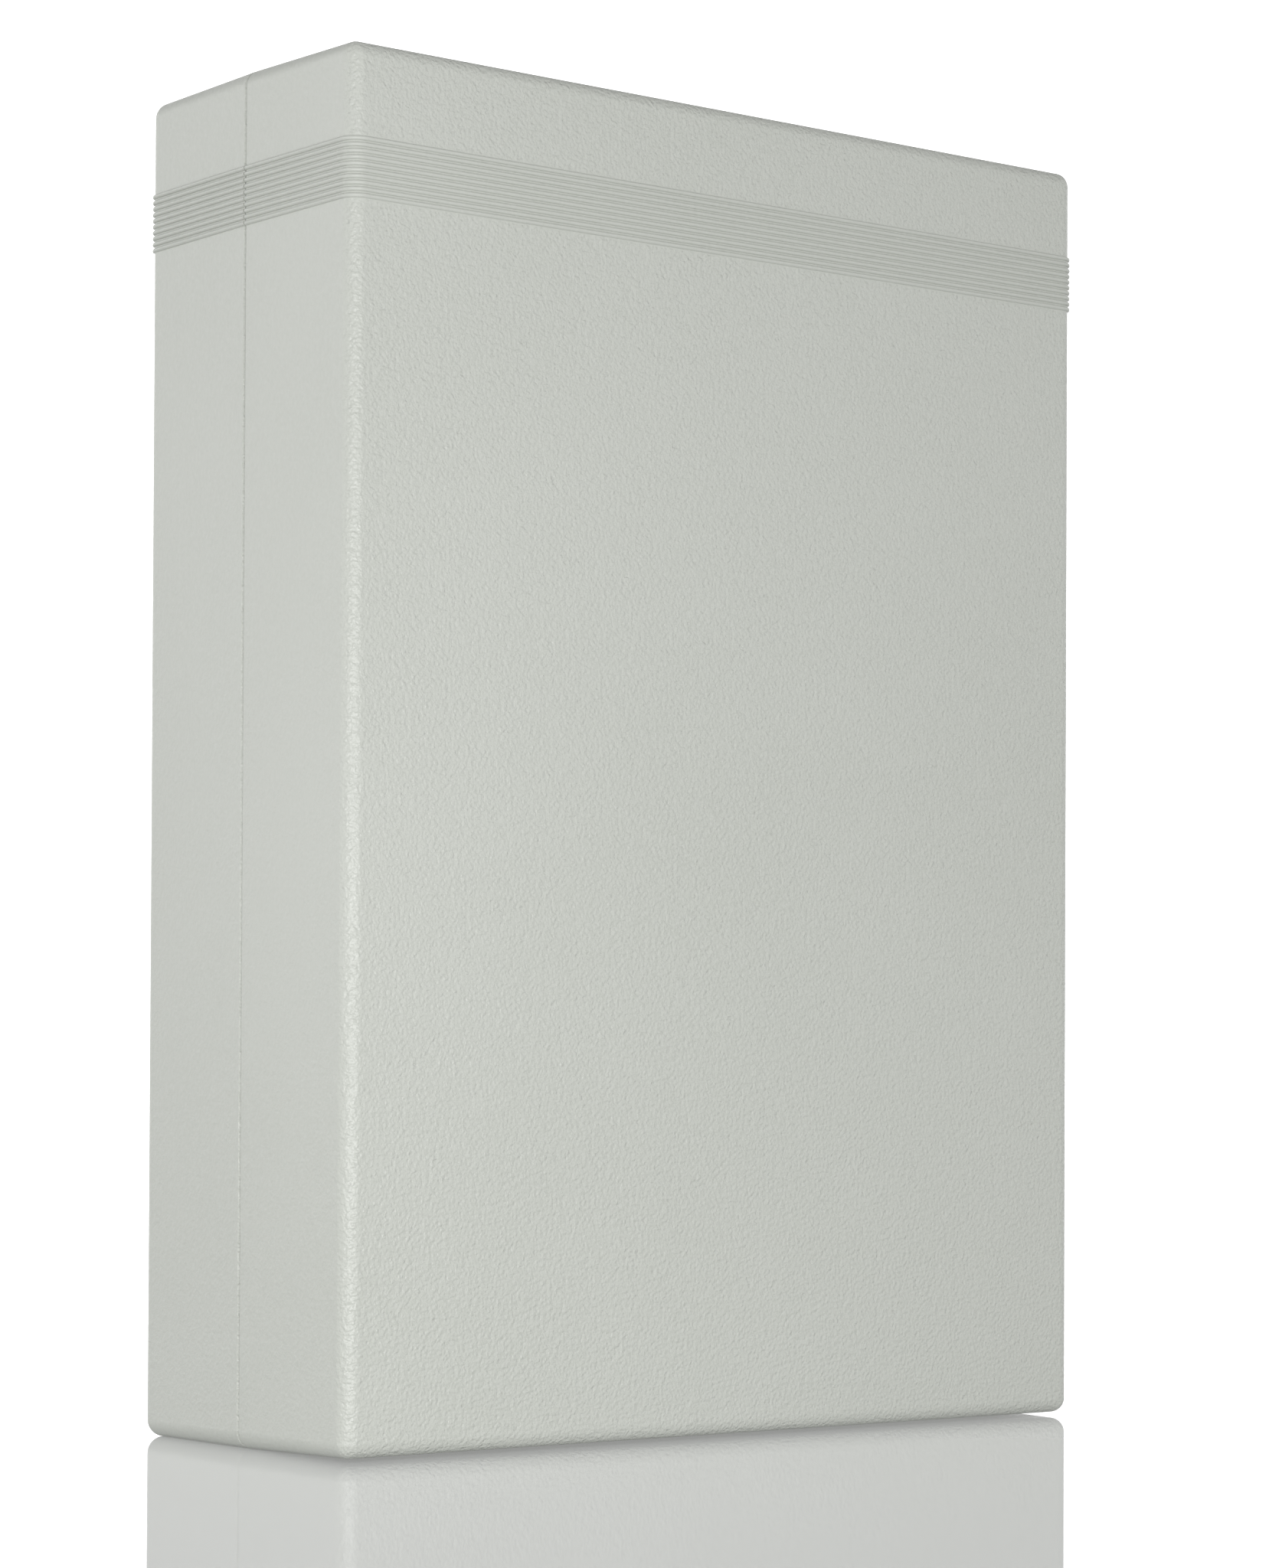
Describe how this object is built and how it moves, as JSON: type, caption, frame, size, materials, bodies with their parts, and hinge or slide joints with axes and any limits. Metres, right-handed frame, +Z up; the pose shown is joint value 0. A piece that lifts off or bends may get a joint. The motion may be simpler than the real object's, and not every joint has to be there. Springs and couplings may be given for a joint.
{
  "type": "wall battery unit",
  "caption": "Wall-mounted box in two moulded halves with a ribbed band, holding sealed batteries and their charger board behind a hook-on cover.",
  "frame": {"origin": "on the base, below the middle of the box; the seam between the two halves is the plane y = 0", "axes": "+Z up, +Y into the wall (back face), -Y is the front of the cover, +X to the right seen from the front"},
  "size_m": [0.2332, 0.0892, 0.33],
  "materials": {
    "case_plastic": "fine spark-eroded grain, light warm grey",
    "black_rubber": "matt",
    "zinc_steel": "bright zinc plate",
    "brass": "turned",
    "battery_case_plastic": "moulded, fine grain",
    "battery_lid_plastic": "moulded, smooth",
    "tinned_metal": "tinned, slightly dull",
    "foam": "open cell foam",
    "board_laminate": "solder mask over glass laminate",
    "heatsink_aluminium": "extruded, drawn lines along the fins",
    "black_epoxy": "moulded epoxy",
    "capacitor_sleeve": "shrink sleeve with a plain aluminium end",
    "ferrite": "sintered, matt",
    "winding_tape": "yellow polyester tape",
    "copper_wire": "enamelled copper",
    "relay_plastic": "moulded, satin",
    "terminal_plastic": "moulded nylon",
    "fuse_glass": "clear tube",
    "green_lens": "diffused lens",
    "red_lens": "diffused lens",
    "black_plastic": "moulded, satin",
    "red_plastic": "moulded, satin",
    "yellow_insulation": "extruded vinyl",
    "black_insulation": "extruded vinyl",
    "red_insulation": "extruded vinyl",
    "clip_nylon": "natural nylon"
  },
  "bodies": {
    "case": {"rear_case": "case_plastic", "seam_gasket": "black_rubber", "cover_screws": "zinc_steel", "cover_inserts": "brass", "cable_grommets": "black_rubber", "battery_lower_case": "battery_case_plastic", "battery_lower_lid": "battery_lid_plastic", "battery_lower_tabs": "tinned_metal", "battery_upper_case": "battery_case_plastic", "battery_upper_lid": "battery_lid_plastic", "battery_upper_tabs": "tinned_metal", "battery_pads": "foam", "battery_shelf": "zinc_steel", "lower_strap": "zinc_steel", "upper_strap": "zinc_steel", "bracket_screws": "zinc_steel", "charger_board": "board_laminate", "board_screws": "zinc_steel", "heatsink": "heatsink_aluminium", "power_transistors": "black_epoxy", "transistor_screws": "zinc_steel", "filter_capacitors": "capacitor_sleeve", "transformer_core": "ferrite", "transformer_winding": "winding_tape", "inductor_core": "ferrite", "inductor_winding": "copper_wire", "relay": "relay_plastic", "input_terminals": "terminal_plastic", "output_terminals": "terminal_plastic", "terminal_screws": "zinc_steel", "fuse_clips": "tinned_metal", "fuse_tube": "fuse_glass", "fuse_caps": "tinned_metal", "control_chip": "black_epoxy", "small_parts": "black_epoxy", "led_green": "green_lens", "led_red": "red_lens", "test_switch": "black_plastic", "isolator_body": "black_plastic", "board_tabs": "tinned_metal", "tab_sleeves": "red_plastic", "link_lead": "yellow_insulation", "negative_lead": "black_insulation", "positive_lead": "red_insulation", "lead_clips": "clip_nylon"},
    "cover": {"front_cover": "case_plastic"},
    "button": {"test_button": "red_plastic"},
    "rocker": {"isolator_rocker": "red_plastic"}
  },
  "joints": [
    {"name": "cover_swing", "type": "hinge", "parent": "case", "child": "cover", "pos_m": [0, 0, 0.33], "axis": [-1, 0, 0], "range_deg": [0, 75]},
    {"name": "button_press", "type": "slide", "parent": "case", "child": "button", "axis": [0, 1, 0], "range_m": [0, 0.0008], "stiffness_N_per_m": 800},
    {"name": "rocker_tilt", "type": "hinge", "parent": "case", "child": "rocker", "pos_m": [0.066, 0.013, 0.296], "axis": [-1, 0, 0], "range_deg": [0, 22]}
  ]
}
